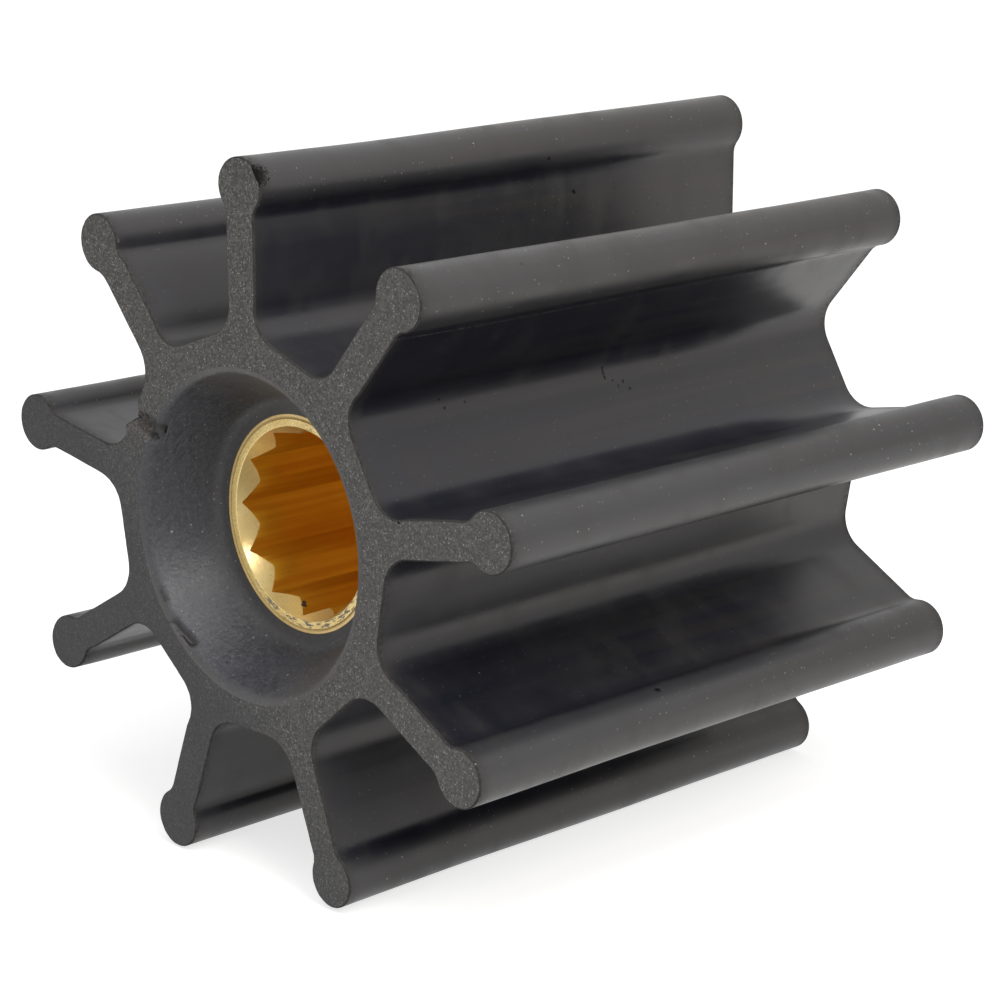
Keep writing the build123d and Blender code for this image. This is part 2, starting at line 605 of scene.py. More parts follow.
def press(centre, half_sizes, turn, depth, roughness, limit=1.2):
    """Presses a rough-edged oval dent into the front end; returns how much each point is inside it."""
    dx, dz = points[:, 0] - centre[0], points[:, 2] - centre[1]
    major = (dx * cos(turn) + dz * sin(turn)) / half_sizes[0]
    minor = (-dx * sin(turn) + dz * cos(turn)) / half_sizes[1]
    reach = np.sqrt(major**2 + minor**2)
    inside = np.zeros(len(points))
    for i in np.nonzero((reach < 1.6) & (from_face < limit))[0]:
        ragged = 0.35 * noise.noise(Vector((points[i, 0] * 1.7, 3.1, points[i, 2] * 1.7)))
        inside[i] = 1 - smooth_step(reach[i] + ragged, 0.7, 1.08)
        rough = 1 + roughness * noise.noise(Vector((points[i, 0] * 2.6, 9.7, points[i, 2] * 2.6)))
        points[i, 1] += depth * inside[i] * rough
    return inside


torn_and_shaded = np.maximum(torn_and_shaded, press((-19.3, 10.9), (3.1, 1.7), radians(-8), 0.60, 1.3))
torn_and_shaded = np.maximum(torn_and_shaded, press((-19.0, 9.5), (1.2, 0.55), radians(-5), 0.70, 0.3))
torn_and_shaded = np.maximum(torn_and_shaded, press((-19.6, 10.8), (0.6, 0.6), 0, 0.4, 0.3))
torn_and_shaded = np.maximum(torn_and_shaded, press((-17.2, 10.8), (0.26, 0.75), radians(-25), 0.15, 0.6, limit=1.3))

# A small nick in the right edge of the top bulb
beside_nick = np.hypot((points[:, 0] - 3.4) / 1.2, (points[:, 2] - 45.4) / 1.0)
nick = np.where(from_face < 2.6, 1 - smooth_step(np.hypot(beside_nick, from_face / 1.5), 0.5, 1.15), 0)
points[:, 0] -= 0.35 * nick
torn_and_shaded = np.maximum(torn_and_shaded, nick * (points[:, 0] > 2.6))
print("torn points:", int((torn_and_shaded > 0.3).sum()))

# %% Cuts along the rim
RIM_CUTS = (
    # start and end angle, depth below the end face at each, width and depth of the cut, in mm
    (-138.0, -124.5, 0.05, 0.75, 0.50, 0.70),
    (-149.5, -144.5, 0.02, 0.10, 0.22, 0.30),
)
angle_here = np.degrees(np.arctan2(points[:, 2], points[:, 0]))
radius_here = np.hypot(points[:, 0], points[:, 2])
at_rim = (from_face < 2.5) & (radius_here < 22) & (radius_here > 18)
for start, end, start_depth, end_depth, width, depth in RIM_CUTS:
    along = (angle_here - start) / (end - start)
    line_depth = start_depth + (end_depth - start_depth) * np.clip(along, 0, 1)
    wander = np.array([noise.noise(Vector((a * 0.45, 7.0, start))) for a in angle_here[at_rim]])
    line_depth[at_rim] += 0.22 * wander
    line_radius = RECESS_MOUTH - line_depth * tan(wall_lean)
    beside = np.hypot(from_face - line_depth, radius_here - line_radius) / width
    inside = np.where(at_rim, np.exp(-beside**2), 0)
    inside *= smooth_step(along, -0.05, 0.12) * (1 - smooth_step(along, 0.85, 1.05))
    outward = points[:, [0, 2]] / radius_here[:, None]
    points[:, 0] += outward[:, 0] * depth * 0.8 * inside
    points[:, 2] += outward[:, 1] * depth * 0.8 * inside
    points[:, 1] += depth * 0.6 * inside
    torn_and_shaded = np.maximum(torn_and_shaded, inside * 2.0)
torn_and_shaded = np.clip(torn_and_shaded, 0, 1)
print("rim cuts:", len(RIM_CUTS))

# %% Seam of the mould
# How far each wall point lies, along the section, from the seam where the web of the upper right
# vane runs into its neck on the right-hand side; the other vanes show no seam
SEAM_VANE, NO_SEAM = 1, 9.0
seam_side = np.concatenate(((0.0,), np.linalg.norm(np.diff(side_points, axis=0), axis=1).cumsum()))
seam_side -= seam_side[BASE + WEB_STEPS]
seam_ring = np.full(AROUND, NO_SEAM)
right_hand = SEAM_VANE * 2 * SIDE + SIDE
seam_ring[right_hand:right_hand + SIDE] = seam_side[SIDE:0:-1]
from_seam = np.full(len(points), NO_SEAM)
from_seam[:wall_count] = np.tile(seam_ring, len(slices))

low_corner, high_corner = (np.array(corner) / MM for corner in cad_box)
points = np.clip(points, low_corner + 0.01, high_corner - 0.01)
points[:, 1] = np.clip(points[:, 1], -HALF_LENGTH, HALF_LENGTH)
print("body stays inside the CAD box")

# %% [markdown]
# ## From points to an object
# Every piece ends the same way: points and faces become a mesh, each face gets its finish, sharp
# edges are marked where two surfaces really meet at a corner, and the piece rides on the one body.

# %% Making a piece
def make_piece(name, points, faces, finishes, materials, sharp, masks=None):
    """A mesh object in metres. sharp decides from two faces whether their shared edge is a corner."""
    mesh = bpy.data.meshes.new(name)
    mesh.from_pydata([tuple(c * MM for c in p) for p in points], [], faces)
    for material in materials:
        mesh.materials.append(material)
    mesh.polygons.foreach_set("material_index", finishes)
    mesh.polygons.foreach_set("use_smooth", [True] * len(mesh.polygons))
    for mask_name, values in (masks or {}).items():
        attribute = mesh.attributes.new(mask_name, "FLOAT", "POINT")
        attribute.data.foreach_set("value", values)
    edit = bmesh.new()
    edit.from_mesh(mesh)
    for edge in edit.edges:
        if len(edge.link_faces) == 2 and sharp(*edge.link_faces):
            edge.smooth = False
    edit.to_mesh(mesh)
    edit.free()
    piece = bpy.data.objects.new(name, mesh)
    bpy.context.scene.collection.objects.link(piece)
    print(name, len(mesh.polygons), "faces")
    return piece

# %% [markdown]
# ## Shared effects
# The finishes below share three effects: pale specks, soft blotches and lines drawn along the
# shaft axis. Each is a node group with its own values wherever it is placed. All three take
# coordinates in millimetres, so a size in the group is a size on the object.

# %% Coordinates in millimetres
def millimetres(tree):
    """The object's own coordinates in mm."""
    place = {"Vector": add_node(tree, "ShaderNodeTexCoord").outputs["Object"], "Scale": 1 / MM}
    return add_node(tree, "ShaderNodeVectorMath", place, operation="SCALE").outputs["Vector"]

# %% Specks
specks, given, give_out = new_group(
    "specks",
    [("Vector", "Vector"), ("Spacing", "Float", 1.0), ("Size", "Float", 0.3), ("Share", "Float", 0.3)],
    [("Mask", "Float"), ("Chance", "Float")],
)
scale = calculate("DIVIDE", 1.0, given["Spacing"])
cells = add_node(specks, "ShaderNodeTexVoronoi", {"Vector": given["Vector"], "Scale": scale})
split = add_node(specks, "ShaderNodeSeparateColor", {"Color": cells.outputs["Color"]})
reach = product(split.outputs["Green"], given["Size"])
near = calculate("LESS_THAN", cells.outputs["Distance"], reach)
chosen = calculate("LESS_THAN", split.outputs["Red"], given["Share"])
give_out("Mask", product(near, chosen))
give_out("Chance", split.outputs["Blue"])

# %% Blotches
blotches, given, give_out = new_group(
    "blotches",
    [("Vector", "Vector"), ("Size", "Float", 5.0), ("Low", "Float", 0.4), ("High", "Float", 0.6)],
    [("Mask", "Float"), ("Value", "Float")],
)
scale = calculate("DIVIDE", 1.0, given["Size"])
cloud = add_node(blotches, "ShaderNodeTexNoise", {
    "Vector": given["Vector"], "Scale": scale, "Detail": 3.0, "Roughness": 0.55,
})
give_out("Mask", ramp(cloud.outputs["Fac"], given["Low"], given["High"]))
give_out("Value", cloud.outputs["Fac"])

# %% Lines drawn along the axis
drawn_lines, given, give_out = new_group(
    "drawn_lines",
    [("Vector", "Vector"), ("Width", "Float", 1.0), ("Length", "Float", 30.0)],
    [("Value", "Float")],
)
split = add_node(drawn_lines, "ShaderNodeSeparateXYZ", {"Vector": given["Vector"]})
place = add_node(drawn_lines, "ShaderNodeCombineXYZ", {
    "X": calculate("DIVIDE", split.outputs["X"], given["Width"]),
    "Y": calculate("DIVIDE", split.outputs["Y"], given["Length"]),
    "Z": calculate("DIVIDE", split.outputs["Z"], given["Width"]),
})
lines = add_node(drawn_lines, "ShaderNodeTexNoise", {
    "Vector": place.outputs["Vector"], "Scale": 1.0, "Detail": 2.5, "Roughness": 0.5,
})
give_out("Value", lines.outputs["Fac"])

# %% Place on the impeller
zones, given, give_out = new_group(
    "zones", [("Vector", "Vector")],
    [("Radius", "Float"), ("From end", "Float"), ("Across", "Float"), ("Along", "Float"), ("Up", "Float")],
)
split = add_node(zones, "ShaderNodeSeparateXYZ", {"Vector": given["Vector"]})
flat = add_node(zones, "ShaderNodeCombineXYZ", {"X": split.outputs["X"], "Y": split.outputs["Z"]})
length = add_node(zones, "ShaderNodeVectorMath", {"Vector": flat.outputs["Vector"]}, operation="LENGTH")
give_out("Radius", length.outputs["Value"])
give_out("From end", calculate("SUBTRACT", HALF_LENGTH, calculate("ABSOLUTE", split.outputs["Y"])))
for axis, name in (("X", "Across"), ("Y", "Along"), ("Z", "Up")):
    give_out(name, split.outputs[axis])

# %% [markdown]
# ## A finish, layer by layer
# A finish is built up like paint: a ground colour, then one thin layer after another, each with a
# mask that says where it lies. One small class keeps a material's tree, its shader and the colour
# made so far, so that each layer below is one line.

# %% Finish
class Finish:
    """A material while its layers are laid on."""

    def __init__(self, name):
        self.material, self.tree, self.shader = new_material(name)
        self.place = millimetres(self.tree)
        self.zone = self.effect(zones)

    def effect(self, group, place=None, **values):
        """The outputs of a shared effect, placed here with its own values."""
        inputs = {"Vector": self.place if place is None else place, **values}
        return add_node(self.tree, "ShaderNodeGroup", inputs, node_tree=group).outputs

    def read(self, mask_name):
        """A mask that the mesh carries."""
        return add_node(self.tree, "ShaderNodeAttribute", attribute_name=mask_name).outputs["Fac"]

    def ground(self, amount, first, second):
        """The ground colour, first or second as amount says."""
        self.colour = blend(amount, first, second)

    def paint(self, mask, colour, strength=None):
        """Lays a colour over what is there, as the mask says, thinned by strength."""
        amount = mask if strength is None else product(mask, strength)
        self.colour = blend(amount, self.colour, colour)

    def speckle(self, colour, strength, **values):
        """Paints specks of one colour or, given a pair of colours, each of its own between them."""
        dots = self.effect(specks, **values)
        if isinstance(colour[0], tuple):
            colour = blend(dots["Chance"], *colour)
        self.paint(dots["Mask"], colour, strength)

    def link(self, socket, name):
        """Links a socket to the shader's input of that name."""
        self.tree.links.new(socket, self.shader.inputs[name])

    def roughen(self, base, *additions):
        """The roughness: a base, and how much each mask adds to it."""
        for mask, amount in additions:
            base = scaled(mask, amount, base)
        self.link(base, "Roughness")

    def close(self, height, strength, distance=0.0001):
        """Links the colour, and a bump of that height and distance in metres."""
        self.link(self.colour, "Base Color")
        bump = {"Height": height, "Strength": strength, "Distance": distance}
        self.link(add_node(self.tree, "ShaderNodeBump", bump).outputs["Normal"], "Normal")
        print("material:", self.material.name)

# %% [markdown]
# ## Marks in known places
# Noise gives a surface its general wear, but a few specks and nicks are seen in one place on the
# real impeller. Each is a small ball round a point of the surface, and fine noise eats into the
# ball from its edge, so the mark is a cluster of grains and no round dot.

# %% Placed marks
mark, given, give_out = new_group(
    "mark",
    [("Vector", "Vector"), ("Centre", "Vector"), ("Radius", "Float", 0.3), ("Grain", "Float", 0.0)],
    [("Mask", "Float")],
)
apart = add_node(mark, "ShaderNodeVectorMath", {0: given["Vector"], 1: given["Centre"]}, operation="DISTANCE")
share = calculate("DIVIDE", apart.outputs["Value"], given["Radius"])
give_out("Mask", ramp(calculate("ADD", share, given["Grain"]), 0.65, 0.85, 1.0, 0.0))


def placed_marks(finish, marks, raggedness=2.2):
    """1 inside any of the marks, else 0. A mark is x, y, z and radius, in mm."""
    fine_noise = {"Vector": finish.place, "Scale": 4.0, "Detail": 2.0}
    grain = add_node(finish.tree, "ShaderNodeTexNoise", fine_noise).outputs["Fac"]
    grain = scaled(grain, raggedness, -raggedness / 2)
    return most(*(
        finish.effect(mark, Centre=(x, y, z), Radius=radius, Grain=grain)["Mask"] for x, y, z, radius in marks
    ))


DARK_SPECKS_AND_PIT_SHADE = (
    # on the right side of the top vane; the first, beside its bulb's front edge, is painted shade in the nick
    # there
    (3.5, -43.6, 45.4, 1.7), (2.3, 11.6, 37.5, 0.38), (3.0, 9.3, 39.3, 0.32), (3.6, 5.5, 42.7, 0.32),
    # in the valley below the upper right vane, halfway back
    (19.5, -0.7, 18.0, 0.27), (19.5, -0.6, 17.6, 0.27), (19.5, -0.5, 17.2, 0.27), (19.6, -0.4, 16.8, 0.26),
    (19.6, -0.3, 16.4, 0.24), (19.8, 0.9, 16.2, 0.22), (20.0, 2.7, 15.9, 0.28), (20.6, 3.4, 14.9, 0.32),
    (20.1, 1.6, 15.5, 0.20),
    # the same valley, near the front
    (19.5, -29.3, 18.3, 0.23), (19.6, -28.4, 17.1, 0.27), (19.5, -25.0, 17.3, 0.24),
    # on the bulb of the lower right vane
    (39.0, -10.8, -18.3, 0.50),
)
print("marks:", len(DARK_SPECKS_AND_PIT_SHADE))

# %% [markdown]
# ## Moulded rubber
# The walls come straight from a polished mould: near-black rubber with a satin skin, so they show
# soft bands of light and dark from the room and from each other. The skin is not even: flow lines
# run along the vanes, patches are duller, and dust lies on it. Close to the front end the skin is
# scuffed dull, where it was trimmed.

# %% Moulded rubber: ground, dust film with painted top light, and rubbed crowns
wall = Finish("moulded_rubber")
zone = wall.zone
wall.shader.inputs["IOR"].default_value = 1.52
wall.shader.inputs["Specular Tint"].default_value = (1.0, 0.94, 0.87, 1)
patches = wall.effect(blotches, Size=9.0, Low=0.42, High=0.62)
fine = wall.effect(blotches, Size=0.5, Low=0.3, High=0.7)["Value"]
flow = wall.effect(drawn_lines, Width=2.4, Length=90.0)["Value"]

# Dust lies as a film on what faces up, and with it painted top light: faces that look up, high on
# the body, are painted lighter. The bulbs' crowns are rubbed, most towards the right, and the bluish
# tint of their colour low on the body is a painted reflection of the floor
normal = add_node(wall.tree, "ShaderNodeTexCoord").outputs["Normal"]
normal = add_node(wall.tree, "ShaderNodeSeparateXYZ", {"Vector": normal})
facing_up = ramp(normal.outputs["Z"], -0.35, 0.15)
high_up = ramp(zone["Up"], 10.0, 32.0, 0.15, 1.0)
dust_and_top_light = product(facing_up, high_up, scaled(patches["Value"], 0.6, 0.3))
crown = ramp(scaled(patches["Value"], 1.5, zone["Radius"]), 41.8, 43.6)
rubbed_right = ramp(zone["Across"], -35.0, 35.0, 0.45, 1.0)
rubbed_front = ramp(zone["Along"], -15.0, 40.0, 1.0, 0.5)
rubbed = product(crown, rubbed_right, rubbed_front)
to_the_rear = ramp(zone["Along"], -42.0, 25.0)
dust_and_top_light_colour = blend(to_the_rear, (0.0255, 0.0254, 0.0300), (0.0270, 0.0256, 0.0235))
rubbed_and_floor_reflection_colour = blend(high_up, (0.0338, 0.0347, 0.0388), (0.0345, 0.0342, 0.0362))
wall.ground(patches["Mask"], (0.0074, 0.0082, 0.0150), (0.0104, 0.0112, 0.0170))
wall.paint(dust_and_top_light, dust_and_top_light_colour)
wall.paint(rubbed, rubbed_and_floor_reflection_colour, 0.85)
print("rubbed crowns begin at radius 41.8 mm")

# %% Moulded rubber: lines, smudges and the front edge
# Browner lines run along the vanes, and smudges lie where a hand wiped across them
lines = ramp(flow, 0.42, 0.62)
wall.paint(lines, (0.0255, 0.0225, 0.0190), ramp(zone["Along"], -38.0, 5.0, 0.1, 0.42))
smudges = ramp(wall.effect(drawn_lines, Width=9.0, Length=5.0)["Value"], 0.50, 0.68)
wall.paint(smudges, (0.0225, 0.0215, 0.0210), 0.30)

# The front edge is scuffed dull and grained, and matt along the very corner
from_edge = scaled(patches["Value"], 3.0, zone["From end"])
from_edge = scaled(fine, 0.8, from_edge)
scuffed = ramp(from_edge, 2.4, 4.4, 1.0, 0.0)
grained = product(ramp(from_edge, 1.8, 3.4, 1.0, 0.0), ramp(fine, 0.46, 0.56))
corner_wear = ramp(zone["From end"], 0.10, 0.40, 1.0, 0.0)
wall.paint(scuffed, (0.012, 0.0115, 0.0115), 0.45)
wall.paint(grained, (0.004, 0.004, 0.005), 0.8)
wall.paint(corner_wear, (0.030, 0.029, 0.028), 0.6)
print("the edge is scuffed over about 2 mm")

# %% Moulded rubber: seam with painted highlight, dust, marks and painted shade
# The mould's seam is broken and has dust caught on it; its pale line is partly a painted highlight
# along the lower contour of the bulb
beside_seam = calculate("SUBTRACT", wall.read("from_seam"), 0.11)
beside_seam = calculate("ABSOLUTE", scaled(fine, 0.22, beside_seam))
seam_and_sheen = product(ramp(beside_seam, 0.02, 0.13, 1.0, 0.0), ramp(fine, 0.42, 0.54))
wall.paint(seam_and_sheen, (0.085, 0.082, 0.077), 0.8)

lying = ramp(zone["Radius"], 40.0, 43.0, 0.30, 0.85)
wall.speckle(((0.035, 0.034, 0.032), (0.17, 0.163, 0.152)), lying, Spacing=0.55, Size=0.24, Share=0.35)
wall.speckle((0.24, 0.23, 0.215), lying, Spacing=1.5, Size=0.09, Share=0.45)
wall.speckle((0.003, 0.003, 0.003), 0.8, Spacing=2.2, Size=0.12, Share=0.10)

# Metallic takes the gloss from a black mark, as the depth of a real pit does. Painted shade: the
# torn places and the nick beside the top bulb are painted near black for the shade in their
# depth; the other marks are dark specks of dirt
marks_and_pit_shade = placed_marks(wall, DARK_SPECKS_AND_PIT_SHADE)
torn_and_shaded_here = wall.read("torn_and_shaded")
wall.link(product(marks_and_pit_shade, 0.65), "Metallic")
wall.paint(most(torn_and_shaded_here, marks_and_pit_shade), (0.004, 0.004, 0.004))
wall.roughen(
    0.26, (patches["Mask"], 0.05), (smudges, 0.08), (corner_wear, 0.40), (grained, 0.25),
    (rubbed, 0.07), (flow, 0.10), (scuffed, 0.10), (torn_and_shaded_here, 0.4),
)
wall.close(scaled(seam_and_sheen, 0.25, scaled(fine, 0.14, flow)), strength=0.30)

# %% [markdown]
# ## Cut end face
# The two end faces are ground to length, which opens the rubber: matt dark grey, with the pale
# mineral filler showing as fine specks, a few of them bright or rusty. The lower left was wiped
# smoother and darker. Where a piece is torn out, the raw rubber is browner and rougher.

# %% Cut end face
face = Finish("cut_rubber")
zone = face.zone
clouds = face.effect(blotches, Size=6.0, Low=0.35, High=0.65)
grain = face.effect(blotches, Size=0.27, Low=0.46, High=0.55)
bright = face.effect(specks, Spacing=0.8, Size=0.14, Share=0.28)
lower_left = scaled(zone["Across"], -0.77, product(zone["Up"], -0.64))
wiped = ramp(scaled(clouds["Value"], 14.0, lower_left), 6.0, 34.0)
face.ground(clouds["Mask"], (0.030, 0.0294, 0.0286), (0.040, 0.0391, 0.0380))
face.paint(wiped, (0.023, 0.023, 0.0275), 0.9)
# Painted light: the face is painted paler towards the right, the side of the right lamp
face.paint(ramp(zone["Across"], 8.0, 32.0, 0.0, 0.4), (0.058, 0.0575, 0.0580))
face.paint(grain["Mask"], (0.094, 0.091, 0.087), scaled(wiped, -0.62, 0.85))
filler = scaled(wiped, -0.62, 0.80)
face.speckle(((0.006, 0.006, 0.006), (0.33, 0.32, 0.30)), filler, Spacing=0.29, Size=0.48, Share=0.55)
rusty = calculate("GREATER_THAN", bright["Chance"], 0.80)
bright_colour = blend(rusty, (0.50, 0.49, 0.46), (0.30, 0.19, 0.13))
face.paint(bright["Mask"], bright_colour, scaled(wiped, -0.3, 0.85))
raw_rubber = blend(grain["Mask"], (0.040, 0.035, 0.033), (0.090, 0.080, 0.073))
face.paint(face.read("torn_and_shaded"), raw_rubber, 0.85)
face.roughen(0.62, (clouds["Value"], 0.15))
face.close(grain["Value"], strength=0.6)

# %% [markdown]
# ## Recess skin
# The recess is moulded too, but its core was not polished: a dull bluish black and cloudy, browner
# and dustier round the bush and towards the right. It is its own finish because its gloss differs
# most.

# %% Recess skin: ground and dusty places
dish = Finish("recess_rubber")
zone = dish.zone
clouds = dish.effect(blotches, Size=5.0, Low=0.38, High=0.62)
mottle = dish.effect(blotches, Size=0.9, Low=0.40, High=0.60)
grain = dish.effect(blotches, Size=0.4, Low=0.42, High=0.62)
dish.ground(clouds["Mask"], (0.0190, 0.0203, 0.0280), (0.034, 0.0358, 0.0475))
upper_left_shade = scaled(zone["Across"], -0.8, product(zone["Up"], 0.6))
# Painted shade: the upper left of the dish, whose wall faces down and away from the lamps above, is painted
# darker
dish.paint(ramp(upper_left_shade, 8.0, 17.0), (0.012, 0.0128, 0.0170), 0.6)
dish.paint(mottle["Mask"], (0.051, 0.0525, 0.062), 0.30)
near_bush = ramp(scaled(mottle["Value"], 2.5, zone["Radius"]), 16.4, 18.6, 1.0, 0.0)
to_the_right = ramp(scaled(mottle["Value"], 6.0, zone["Across"]), 2.0, 12.0)
dusty = most(near_bush, to_the_right)
dish.paint(dusty, (0.054, 0.049, 0.045), 0.65)
print("cloudy ground, dusty round the bush")

# %% Recess skin: rims with painted light low down, dust, painted contact shadow and painted shade in the cuts
# Painted light: the rounded rim is painted lighter, most at the bottom, where it faces up into the light
lower_rim_light = ramp(zone["Up"], 4.0, -14.0, 0.1, 0.75)
dish.paint(ramp(zone["Radius"], 20.0, 21.4), (0.066, 0.063, 0.060), lower_rim_light)
upper_rim = scaled(zone["Across"], 0.6, scaled(mottle["Value"], 5.0, zone["Up"]))
dish.paint(ramp(upper_rim, 11.0, 19.0), (0.068, 0.064, 0.060), 0.85)
dish.paint(grain["Mask"], (0.075, 0.074, 0.074), 0.30)
lying = scaled(dusty, 0.35, 0.35)
dish.speckle(((0.035, 0.034, 0.034), (0.24, 0.23, 0.215)), lying, Spacing=0.42, Size=0.38, Share=0.42)
dish.speckle((0.27, 0.26, 0.25), 0.7, Spacing=1.2, Size=0.14, Share=0.40)
dish.speckle((0.006, 0.006, 0.006), 0.7, Spacing=1.8, Size=0.16, Share=0.25)
# Painted contact shadow: a dark brown line on the rubber floor right beside the bush
beside_bush = scaled(mottle["Value"], 0.5, zone["Radius"])
dish.paint(ramp(beside_bush, 14.40, 14.65, 0.5, 0.0), (0.045, 0.036, 0.028))
# Painted shade: the rim cuts and the tear are painted darker for the shade inside them
dish.paint(dish.read("torn_and_shaded"), (0.011, 0.010, 0.010))
dish.roughen(0.36, (clouds["Mask"], 0.08), (mottle["Value"], 0.12), (dusty, 0.15))
dish.close(scaled(mottle["Value"], 2.0, grain["Value"]), strength=0.45)

# %% [markdown]
# ## The rubber body as a piece
# Its CAD node is a plain soft solid, so this piece stands for it.

# %% Rubber body
def finishes_meet(first, second):
    return first.material_index != second.material_index


impeller_body = make_piece(
    "impeller_body", points, skin.faces, skin.finish,
    [wall.material, face.material, dish.material], finishes_meet, {"torn_and_shaded": torn_and_shaded, "from_seam": from_seam},
)
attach(impeller_body, "root")
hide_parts("rubber_body")

# %% [markdown]
# ## Brass bush
# A turned brass tube with a broached spline: twelve teeth with straight flanks, sharp at their
# roots and just rounded at their tips. The tool that faced the tube left a fine groove near its
# rim, and a cone at the mouth leads the shaft in and cuts the teeth back. The bush is built in
# columns too, one for each direction, which all follow the same path and then their own depth of
# tooth.

# %% Spline outline
TEETH = 12
TOOTH_HALF_PITCH = pi / TEETH
SPLINE_ROOT, SPLINE_TIP, TIP_ROUND = 12.2, 11.2, 1.2
SPLINE_PHASE = radians(90 - 2.3)
FLANK_STEPS, TIP_STEPS = 8, 3


def half_tooth():
    """Points from the sharp root, along a flank, to the middle of the rounded tip."""
    root = np.array((SPLINE_ROOT, 0.0))
    tip_way = np.array((cos(TOOTH_HALF_PITCH), sin(TOOTH_HALF_PITCH)))
    tip = SPLINE_TIP * tip_way
    flank = (root - tip) / np.linalg.norm(root - tip)
    half_angle = acos(float(flank @ tip_way))
    flank_end = tip + flank * TIP_ROUND / tan(half_angle)
    centre = tip + tip_way * TIP_ROUND / sin(half_angle)
    made = [root + (flank_end - root) * i / FLANK_STEPS for i in range(FLANK_STEPS + 1)]
    start = flank_end - centre
    sweep = pi / 2 - half_angle
    made += [centre + turned(start, -sweep * i / TIP_STEPS) for i in range(1, TIP_STEPS + 1)]
    return np.array(made)


tooth = half_tooth()
whole = np.concatenate((tooth[::-1][1:-1] * (1, -1), tooth))
outline = np.concatenate([turned(whole, SPLINE_PHASE + i * 2 * TOOTH_HALF_PITCH) for i in range(TEETH)])[::-1]
spline_radius = np.hypot(outline[:, 0], outline[:, 1])
spline_angle = np.arctan2(outline[:, 1], outline[:, 0])
print("spline:", len(outline), "points, radius from", spline_radius.min().round(2), "mm")

# %% Bush skin
BUSH_END = HALF_LENGTH - RECESS_DEPTH
GROOVE_RADIUS, GROOVE_WIDTH, GROOVE_DEPTH = 13.6, 0.24, 0.15
LEAD_IN_RADIUS, LEAD_IN_ANGLE = 12.5, radians(27)
WORN, TOOTH_WORN = 0.05, 0.015
groove_out, groove_in = GROOVE_RADIUS + GROOVE_WIDTH / 2, GROOVE_RADIUS - GROOVE_WIDTH / 2
END_PATH = (
    # radius and depth below the bush's end, from its outside to the mouth of the cone
    (BUSH_RADIUS, 0.08), (BUSH_RADIUS - 0.03, 0.02), (BUSH_RADIUS - 0.10, 0.0), (groove_out + WORN, 0.0),
    (groove_out, WORN), (groove_out, GROOVE_DEPTH), (groove_in, GROOVE_DEPTH), (groove_in, WORN),
    (groove_in - WORN, 0.0), (13.1, 0.0), (12.8, 0.0), (LEAD_IN_RADIUS + WORN, 0.0), (LEAD_IN_RADIUS, 0.03),
)
CONE_STEPS, BORE_STEPS = 6, 14
bush = Skin()


def end_rows(end):
    """The rows of one end of the bush, from outside to where the bore begins."""
    made = [bush.add_ring(radius, end * (BUSH_END - depth), spline_angle) for radius, depth in END_PATH]
    cone_radius = spline_radius + TOOTH_WORN
    for share in np.linspace(0, 1, CONE_STEPS + 1)[1:]:
        radius = LEAD_IN_RADIUS + (cone_radius - LEAD_IN_RADIUS) * share
        depth = (LEAD_IN_RADIUS - radius) / tan(LEAD_IN_ANGLE) + 0.03
        made.append(bush.add_ring(radius, end * (BUSH_END - depth), spline_angle))
    bore_start = (LEAD_IN_RADIUS - cone_radius) / tan(LEAD_IN_ANGLE) + 0.03 + 2 * TOOTH_WORN
    made.append(bush.add_ring(spline_radius, end * (BUSH_END - bore_start), spline_angle))
    return made, bore_start


front_rows, bore_start = end_rows(-1)
bore_rows = []
for share in np.linspace(-1, 1, BORE_STEPS + 1)[1:-1]:
    bore_rows.append(bush.add_ring(spline_radius, share * (BUSH_END - bore_start), spline_angle))
rear_rows, _ = end_rows(1)
bush_rows = front_rows + bore_rows + rear_rows[::-1]
for first, second in zip(bush_rows, bush_rows[1:] + bush_rows[:1]):
    bush.join(first, second, 0, flip=True)
print("bush:", len(bush.faces), "faces")

# %% [markdown]
# ## Brass
# Bright turned brass would mirror the room; this one is dull and slightly tarnished, so its
# highlights are broad. The deep orange in the bore comes partly from light that has met brass
# several times and been coloured each time, and partly from paint: the bore is painted a deeper
# orange than brass, a painted reflection of that coloured light. Dark rubber left from moulding
# clings to the flat ring at the mouth, and the broach has left fine lines along the bore.

# %% Brass finish: where the bore, the ring and the groove are
brass = Finish("turned_brass")
zone = brass.zone
below_end = calculate("SUBTRACT", zone["From end"], RECESS_DEPTH)
below_cone = scaled(zone["Radius"], 1 / tan(LEAD_IN_ANGLE), below_end)
cone_line = LEAD_IN_RADIUS / tan(LEAD_IN_ANGLE)
in_bore = product(
    ramp(below_cone, cone_line + 0.04, cone_line + 0.10),
    ramp(zone["Radius"], 12.3, 12.4, 1.0, 0.0),
)
outside_bore = calculate("SUBTRACT", 1.0, in_bore)
on_ring = ramp(zone["Radius"], 12.45, 12.6)
on_flat = product(on_ring, ramp(zone["Radius"], 13.45, 13.3))
from_groove = calculate("ABSOLUTE", calculate("SUBTRACT", zone["Radius"], GROOVE_RADIUS))
in_groove = ramp(from_groove, 0.13, 0.19, 1.0, 0.0)
print("the cone runs out at", round(cone_line, 2), "mm")

# %% Brass finish: metal
# Pale at the end, mottled on the ring, with the outer band duller; streaked orange in the bore,
# painted deeper than brass as a painted reflection of the light's many bounces there
tarnish = brass.effect(blotches, Size=3.5, Low=0.35, High=0.7)
mottle = brass.effect(blotches, Size=0.30, Low=0.44, High=0.58)
broached = brass.effect(drawn_lines, Width=1.1, Length=30.0)["Value"]
brass.ground(tarnish["Mask"], (1.00, 0.78, 0.340), (0.92, 0.68, 0.260))
brass.paint(mottle["Mask"], (0.66, 0.44, 0.12), scaled(on_ring, 0.3, 0.2))
brass.paint(ramp(zone["Radius"], 13.7, 13.8), (0.74, 0.51, 0.24), 0.5)
streaks = ramp(broached, 0.30, 0.70)
brass.paint(in_bore, blend(streaks, (0.81, 0.445, 0.040), (0.93, 0.61, 0.062)))
print("metal: pale end, orange bore")
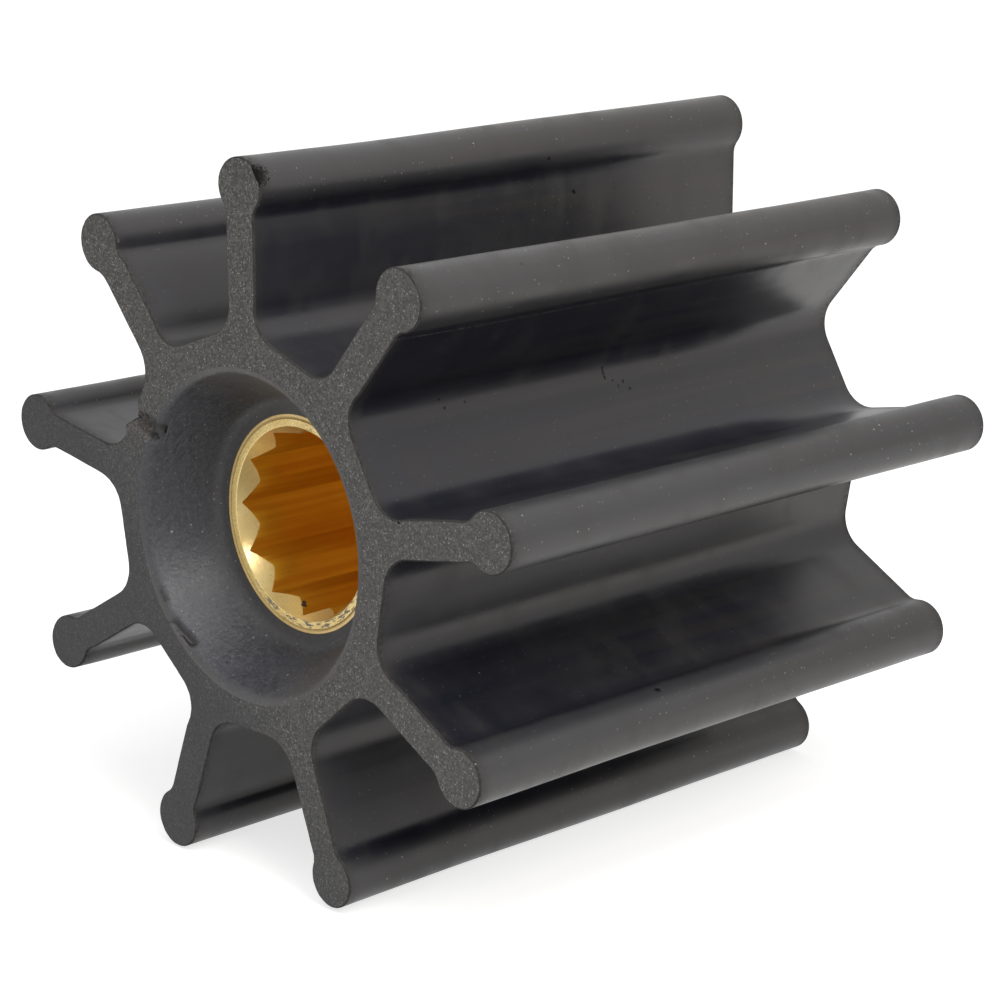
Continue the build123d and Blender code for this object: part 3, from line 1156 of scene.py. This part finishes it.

# %% Brass finish: dirt
# Flecks of rubber along the ring, drawn out round it, then the groove painted darker and a chipped tooth
along_ring = add_node(brass.tree, "ShaderNodeCombineXYZ", {
    "X": calculate("DIVIDE", zone["Across"], 1.1),
    "Y": calculate("DIVIDE", zone["Radius"], 0.30),
    "Z": calculate("DIVIDE", zone["Up"], 1.1),
})
flecks = brass.effect(blotches, along_ring.outputs["Vector"], Size=1.0, Low=0.52, High=0.57)
where_kept = ramp(scaled(zone["Up"], -0.5, zone["Across"]), -8.0, 1.0, 0.05, 1.0)
residue = product(on_flat, where_kept, flecks["Mask"])
chipped = placed_marks(brass, ((-2.35, -32.60, -11.22, 0.44), (-1.95, -32.95, -11.42, 0.50)), raggedness=0.8)
pits = brass.effect(specks, Spacing=0.9, Size=0.16, Share=0.25)["Mask"]
brass.paint(residue, (0.17, 0.165, 0.16), 0.9)
brass.paint(in_groove, (0.34, 0.23, 0.10), 0.5)
brass.paint(chipped, (0.060, 0.030, 0.014))
brass.paint(product(pits, outside_bore), (0.30, 0.20, 0.10), 0.5)

covered = most(residue, in_groove, chipped)
dull = most(covered, product(outside_bore, 0.68))
brass.link(scaled(dull, -0.9, 1.0), "Metallic")

# A film of grease on the cone gives the white glint beside the lower teeth
on_cone = calculate("SUBTRACT", outside_bore, on_ring, clamp=True)
brass.link(product(on_cone, 0.9), "Coat Weight")
brass.shader.inputs["Coat Roughness"].default_value = 0.16
brass.roughen(0.14, (tarnish["Value"], 0.16), (on_ring, 0.14), (in_bore, 0.28), (covered, 0.3))

# Fine lines from the lathe and the broach, and the mottled ring
turning = {"W": zone["Radius"], "Scale": 9.0, "Detail": 2.0}
turning = add_node(brass.tree, "ShaderNodeTexNoise", turning, noise_dimensions="1D").outputs["Fac"]
height = calculate("ADD", broached, product(turning, 0.5))
height = scaled(product(mottle["Value"], on_ring), 1.2, height)
brass.close(height, strength=0.35, distance=0.00006)

# %% Bush
def corner(first, second):
    return first.normal.angle(second.normal, 0) > radians(32)


brass_bush = make_piece("brass_bush", bush.points, bush.faces, bush.finish, [brass.material], corner)
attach(brass_bush, "root")
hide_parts("spline_bush")
